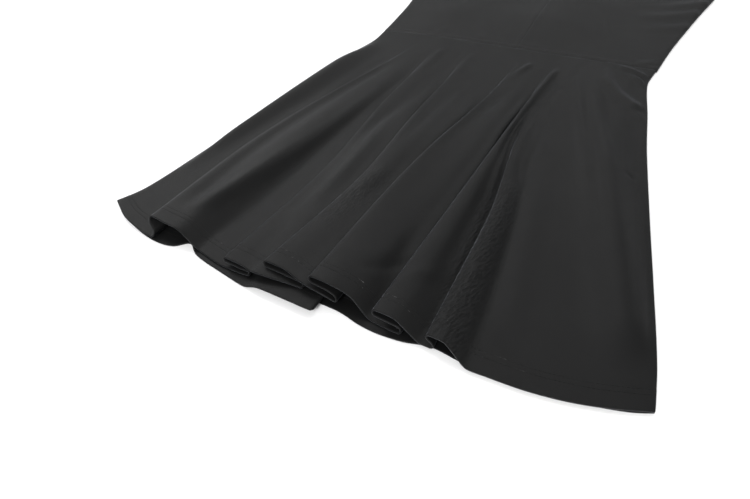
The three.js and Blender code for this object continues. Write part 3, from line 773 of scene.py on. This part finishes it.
def stitches(name, lines):
    points, faces = [], []
    for line, normals in lines:
        morePoints, moreFaces = stitchRow(line, normals, stitchSize)
        faces += [tuple(v + len(points) for v in face) for face in moreFaces]
        points += morePoints
    points = np.array(points)
    # mask for the painted highlights, fading with distance from the listed places
    away = np.min([np.hypot(points[:, 0] - p["x"], points[:, 1] - p["y"]) for p in glintPlaces], axis=0)
    return link(name, points, faces, thread, masks={"glintMask": np.exp(-(away / glintReach)**2)})


# Skirt panels
def hemDistance(shares):
    return skirt["length"] * (1 - shares)


# Half thicknesses of a skirt panel: the turned-up hem is thicker inside, and its two stitch rows are sunk
def hemThickness(grid, shares, over, under):
    fromHem = hemDistance(shares)[:, None]
    x = grid[-1:, :, 0]
    (often, begins), (seldom, starts) = skirt["pullWaves"]
    pull = skirt["pullLeast"] + skirt["pullSpread"] * np.sin(x * often + begins) * np.sin(x * seldom + starts)
    inside, outside = skirt["hemEdge"]
    turned = 1 - grow(fromHem, skirt["hemDeep"] - inside, skirt["hemDeep"] + outside)
    dips = sum(np.exp(-((fromHem - row) / skirt["dipWidth"])**2) for row in skirt["stitchRows"])
    puffed = turned * skirt["hemPuff"]
    return over + puffed - skirt["stitchDip"] * dips * pull, under + skirt["hemExtra"] * turned


def hemStitches(name, upper, normal, shares):
    lines = []
    for row in skirt["stitchRows"]:
        i = int(np.argmin(np.abs(hemDistance(shares) - row)))
        lines.append((upper[i], normal[i]))
    return stitches(name, lines)


# How much the cloth is lowered near an edge, where it runs into a seam
def edgeDip(distance, depth, width):
    return depth * np.exp(-(distance / width)**2)


def makeSkirtFront():
    grid, free, shares = skirtGrid(frontNodes, frontSkirt["columnWidth"], frontLevel, backRise)
    x, y = grid[..., 0].copy(), grid[..., 1].copy()
    floor = np.array([[backRise(place, t) for place in row] for row, t in zip(x, shares)])
    grid[..., 2] += waveHeight(x, y)
    aboveFloor = grid[..., 2] - frontLevel - floor
    lowest = grid[..., 2] - np.maximum(frontSkirt["leastLeft"], frontSkirt["shareLeft"] * aboveFloor)
    fromLeft, fromRight = x - x[:, :1], x[:, -1:] - x
    inner = grow(fromLeft, 0, frontSkirt["edgeFade"]) * grow(fromRight, 0, frontSkirt["edgeFade"])
    uncovered = openFade(grid)
    grid[..., 2] += creaseHeight(x, y, frontSkirt["creases"]) * free * uncovered * inner
    grid[..., 2] = np.maximum(grid[..., 2], lowest)
    grid[..., 2] -= edgeDip(fromLeft, *frontSkirt["sideDip"]) + edgeDip(fromRight, *frontSkirt["sideDip"])
    crushed = creaseHeight(x, y, frontSkirt["crushed"]) * uncovered
    over, under = hemThickness(grid, shares, cloth["over"], cloth["under"])
    piece, upper, normal = shell("skirt_front_cloth", grid, skirtKnit, over, under, {"crushed": crushed},
                                 mix(skirt["grainAtSeam"], 1, shares))
    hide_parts("skirt_front")
    sewing = hemStitches("skirt_front_stitches", upper, normal, shares)


def makeSkirtBack():
    grid, _, shares = skirtGrid(backNodes, backSkirt["columnWidth"], backLevel, lambda x, t: 0)
    over, under = hemThickness(grid, shares, cloth["over"], backLevel)
    under = np.minimum(under, backLevel)
    piece, upper, normal = shell("skirt_back_cloth", grid, skirtKnit, over, under,
                                 {"crushed": np.zeros(grid.shape[:2])}, mix(skirt["grainAtSeam"], 1, shares))
    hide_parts("skirt_back")
    sewing = hemStitches("skirt_back_stitches", upper, normal, shares)


makeSkirtBack()
makeSkirtFront()
print("skirt made")

# Bodice
bodice = {
    "axis": 14, "underarm": 172, "backDip": 34, "vDepth": 228, "strapStart": 330, "strapWidth": 38,
    "napeWidth": 34, "neckHalf": 52, "neckArch": 74, "nape": 432,
    "sides": table("y left right", (0, -166, 174), (40, -167, 177), (72, -169, 181), (130, -177, 190),
                   (172, -186, 198)),
    "armhole": table("y out", (172, 1), (200, 0.74), (235, 0.45), (275, 0.2), (330, 0)),
    "rowStep": 3.2, "columns": 64, "edgeColumns": (0.25, 0.5, 0.75), "axisRoom": 0.42, "levelDrops": (8, 60),
    "cutWide": {"left": 0.2, "right": 0.184}, "cutHigh": 0.335, "cutArea": {"left": 0.049, "right": 0.046},
    "waistRoll": 0.25, "rollDeep": 6, "rollEdge": (1, 1.6), "waistDip": (0.5, 2.2),
    "seamPress": 0.3, "seamSide": 6, "pressEdge": (1, 1.5), "seamDip": (0.1, 1.1), "seamFade": 6,
    "sideDip": (0.5, 1.8), "sideFade": 4, "edgeTurn": 8, "edgeStart": 4, "creaseFloor": -0.5,
    "creases": table(
        "fromX fromY toX toY bend height width start end",
        (-150, 20, -60, 96, 0, 2.2, 34, 0.5, 0.5),
        (28, 8, 52, 190, 0, 6.0, 56, 0.35, 0.4),
        (112, 104, 192, 130, 6, 2.0, 9, 0.7, 0.1),
        (126, 80, 188, 96, 4, 1.4, 8, 0.7, 0.1),
        (124, 130, 196, 158, 6, 2.0, 9, 0.7, 0.1),
        (88, 98, 108, 51, 0, 0.45, 1.3, 0.3, 0.3),
        (-160, 120, -110, 96, -4, 1.6, 7, 0.2, 0.5),
        (-100, 3, -84, 22, 0, 0.5, 5, 0.3, 0.5),
        (-40, 3, -34, 17, 0, 0.4, 4, 0.3, 0.5),
        (30, 3, 34, 15, 0, 0.35, 4, 0.3, 0.5),
        (148, 4, 172, 14, 2, 1.0, 4, 0.3, 0.2),
        (-60, 150, -20, 205, 6, 1.4, 10, 0.4, 0.4),
        (70, 160, 40, 215, -6, 1.3, 10, 0.4, 0.4)),
}


def bodiceLevel(y):
    starts, ends = bodice["levelDrops"]
    return mix(frontLevel, backLevel, growOne(y, bodice["underarm"] + starts, bodice["underarm"] + ends))


def bodiceHeights():
    heights = [0.5, 1.1, 1.9, 3, 4.5, 6, 7.2, 8.4]
    closeRows, lastStep, lastRow = 12, 2, 0.5
    count = math.ceil((bodice["strapStart"] - closeRows) / bodice["rowStep"])
    heights += [mix(heights[-1], bodice["strapStart"] - lastStep, k / count) for k in range(1, count + 1)]
    return heights + [bodice["strapStart"] - lastRow]


def makeBodiceFront(side, label):
    column = "left" if side < 0 else "right"
    underarm = abs(along(bodice["sides"], "y", column, bodice["underarm"]) - bodice["axis"])
    strapOut = bodice["neckHalf"] + bodice["strapWidth"] / 2
    strapIn = bodice["neckHalf"] - bodice["strapWidth"] / 2

    def outer(y):
        if y <= bodice["underarm"]:
            return abs(along(bodice["sides"], "y", column, y) - bodice["axis"])
        return mix(strapOut, underarm, along(bodice["armhole"], "y", "out", y))

    def inner(y):
        opened = clamp((y - bodice["vDepth"]) / (bodice["strapStart"] - bodice["vDepth"]), 0, 1)
        return mix(cloth["gap"] / 2 + bodice["axisRoom"], strapIn, opened)

    shares = np.linspace(0, 1, bodice["columns"] + 1)
    close = shares[1] * np.array(bodice["edgeColumns"])
    shares = np.sort(np.concatenate((shares, close, 1 - close)))
    heights = bodiceHeights()[::-1]
    grid = np.zeros((len(heights), len(shares), 3))
    for i, height in enumerate(heights):
        a, b = inner(height), outer(height)
        for j, share in enumerate(shares if side > 0 else 1 - shares):
            x = bodice["axis"] + side * mix(a, b, share)
            bottom = (waistY(x) + cloth["gap"] / 2) * (1 - height / bodice["strapStart"])
            grid[i, j] = (x, bottom + height, bodiceLevel(height))
    x, y = grid[..., 0].copy(), grid[..., 1].copy()
    up = np.array(heights)[:, None]
    fromSide = np.abs(x - (x[:, -1:] if side > 0 else x[:, :1]))
    fromAxis = np.abs(x - bodice["axis"])
    grid[..., 2] += np.maximum(creaseHeight(x, y, bodice["creases"]), bodice["creaseFloor"])
    before, after = bodice["rollEdge"]
    rolled = 1 - grow(up, bodice["rollDeep"] - before, bodice["rollDeep"] + after)
    grid[..., 2] += bodice["waistRoll"] * rolled
    grid[..., 2] -= edgeDip(up, *bodice["waistDip"])
    below = 1 - grow(up, bodice["vDepth"] - bodice["seamFade"], bodice["vDepth"] + bodice["seamFade"])
    before, after = bodice["pressEdge"]
    pressed = 1 - grow(fromAxis, bodice["seamSide"] - before, bodice["seamSide"] + after)
    grid[..., 2] += below * bodice["seamPress"] * pressed
    grid[..., 2] -= below * edgeDip(fromAxis, *bodice["seamDip"])
    atSide = 1 - grow(up, bodice["underarm"] - bodice["sideFade"], bodice["underarm"] + bodice["sideFade"])
    grid[..., 2] -= atSide * edgeDip(fromSide, *bodice["sideDip"])
    piece, upper, normal = shell(f"bodice_front_{label}_cloth", grid, bodiceKnit,
                                 cloth["over"], cloth["under"])
    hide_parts(f"bodice_front_{label}")
    lines = edgeStitches(upper, normal, heights, side)
    sewing = stitches(f"bodice_front_{label}_stitches", lines)


# Stitch lines inside the neckline and the armhole
def edgeStitches(upper, normal, heights, side):
    lines = []
    starts = bodice["edgeStart"]
    for atAxis, above in ((True, bodice["vDepth"] + starts), (False, bodice["underarm"] + starts)):
        line, ups = [], []
        for i, height in enumerate(heights):
            if height < above:
                continue
            row = upper[i] if (side > 0) == atAxis else upper[i][::-1]
            upRow = normal[i] if (side > 0) == atAxis else normal[i][::-1]
            lengths = lengthsAlong(row)
            line.append(placeAt(bodice["edgeTurn"], lengths, row))
            ups.append(placeAt(bodice["edgeTurn"], lengths, upRow))
        lines.append((np.array(line), np.array(ups)))
    return lines


def makeBodiceBack():
    rows, columns, lowest = 58, 120, 0.5
    grid = np.zeros((rows + 1, columns + 1, 3))
    for i in range(rows + 1):
        t = max(1 - i / rows, lowest / bodice["underarm"])
        for j in range(columns + 1):
            across = 2 * j / columns - 1
            top = bodice["underarm"] - bodice["backDip"] * (1 - across * across)
            left, right = (along(bodice["sides"], "y", column, top * t) for column in ("left", "right"))
            x = mix(left, right, j / columns)
            grid[i, j] = (x, mix(waistY(x) + cloth["gap"] / 2, top, t), backLevel)
    piece, upper, normal = shell("bodice_back_cloth", grid, bodiceKnit, cloth["over"], backLevel)
    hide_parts("bodice_back")
    i = int(round(bodice["edgeTurn"] / bodice["underarm"] * rows))
    sewing = stitches("bodice_back_stitches", [(upper[i], normal[i])])


def makeStrap(side, label):
    steps, columns, inset = 72, 14, 3
    straight = bodice["nape"] - bodice["napeWidth"] / 2 - bodice["neckArch"] - bodice["strapStart"]
    straightShare, endShare = 2 / 16, 0.003
    centre = bodice["strapStart"] + cloth["gap"] + straight
    grid = []
    for i in range(steps + 1):
        share = clamp(i / steps, endShare, 1 - endShare)
        angle = max(share - straightShare, 0) / (1 - straightShare) * math.pi / 2
        height = centre + bodice["neckArch"] * math.sin(angle) - straight * max(1 - share / straightShare, 0)
        middle = np.array((bodice["neckHalf"] * math.cos(angle), height, backLevel))
        outward = unit(np.array((math.cos(angle) * bodice["neckArch"],
                                 math.sin(angle) * bodice["neckHalf"], 0)))
        width = mix(bodice["strapWidth"], bodice["napeWidth"], share)
        row = []
        for j in range(columns + 1):
            point = middle + outward * width * (j / columns - 0.5)
            point[0] = bodice["axis"] + side * (max(point[0], 0) + cloth["gap"] / 2)
            row.append(point)
        grid.append(row if side > 0 else row[::-1])
    grid = np.array(grid[::-1])
    piece, upper, normal = shell(f"neck_strap_{label}_cloth", grid, bodiceKnit, cloth["over"], backLevel)
    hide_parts(f"neck_strap_{label}")
    lines = [(upper[:, column], normal[:, column]) for column in (inset, -1 - inset)]
    sewing = stitches(f"neck_strap_{label}_stitches", lines)


makeBodiceBack()
makeBodiceFront(-1, "left")
makeBodiceFront(1, "right")
makeStrap(-1, "left")
makeStrap(1, "right")
print("bodice made")

# Seam allowances under the seams
allowance = {"wide": 11, "thick": 0.22, "level": 1.78, "waistEnds": (-163, 171), "waistSteps": 120,
             "underV": 8, "overWaist": 6, "frontSteps": 60, "topLevel": 0.3, "drops": (176, 232)}


def makeAllowances():
    xs = np.linspace(*allowance["waistEnds"], allowance["waistSteps"])
    middle = np.array([[x, waistY(x), allowance["level"]] for x in xs])
    grid = np.array([middle + (0, allowance["wide"] * s, 0) for s in (0.5, 0, -0.5)])
    waist, _, _ = shell("waist_seam_allowance", grid, bodiceKnit, allowance["thick"], allowance["thick"])
    ys = np.linspace(bodice["vDepth"] - allowance["underV"], allowance["overWaist"], allowance["frontSteps"])
    levels = [mix(allowance["level"], allowance["topLevel"], growOne(y, *allowance["drops"])) for y in ys]
    grid = np.array([[(bodice["axis"] + allowance["wide"] * s, y, level) for s in (-0.5, 0, 0.5)]
                     for y, level in zip(ys, levels)])
    front, _, _ = shell("front_seam_allowance", grid, bodiceKnit, allowance["thick"], allowance["thick"])


makeAllowances()
print("seams made")

# Floor, light and colours
studio = {"floor": (0.95, 0.95, 0.95), "rough": 0.9, "specular": 0.1, "low": 0.0002, "size": 9.0,
          "world": 0.52, "exposure": 0.0,
          "lights": table("name place aim size power", ("key", (-3.6, 1.8, 2.6), (0, -0.15, 0), 1.4, 66),
                          ("overhead", (-0.1, 1.2, 2.1), (0.1, -0.3, 0), 1.4, 20),
                          ("fill", (0.3, -2.2, 1.8), (0.1, -0.3, 0), 1.2, 55))}


def makeFloor():
    half, level = studio["size"] / 2, -studio["low"]
    mesh = bpy.data.meshes.new("floor")
    corners = [(-half, -half, level), (half, -half, level), (half, half, level), (-half, half, level)]
    mesh.from_pydata(corners, [], [(0, 1, 2, 3)])
    floor = bpy.data.objects.new("floor", mesh)
    bpy.context.collection.objects.link(floor)
    material, _, principled = newMaterial("whiteFloor")
    setSockets(principled, {"Base Color": (*studio["floor"], 1), "Roughness": studio["rough"],
                            "Specular IOR Level": studio["specular"]})
    mesh.materials.append(material)


def makeLights():
    for row in studio["lights"]:
        data = bpy.data.lights.new(row["name"], "AREA")
        data.shape = "DISK"
        data.size = row["size"]
        data.energy = row["power"]
        light = bpy.data.objects.new(row["name"], data)
        bpy.context.collection.objects.link(light)
        aim = Vector(row["aim"]) - Vector(row["place"])
        light.location = row["place"]
        light.rotation_euler = aim.to_track_quat("-Z", "Y").to_euler()
    world = bpy.data.worlds.new("world")
    world.use_nodes = True
    setSockets(world.node_tree.nodes["Background"], {"Color": (1, 1, 1, 1), "Strength": studio["world"]})
    bpy.context.scene.world = world
    bpy.context.scene.view_settings.view_transform = "Standard"
    bpy.context.scene.view_settings.exposure = studio["exposure"]


makeFloor()
makeLights()
print("floor and lights made")
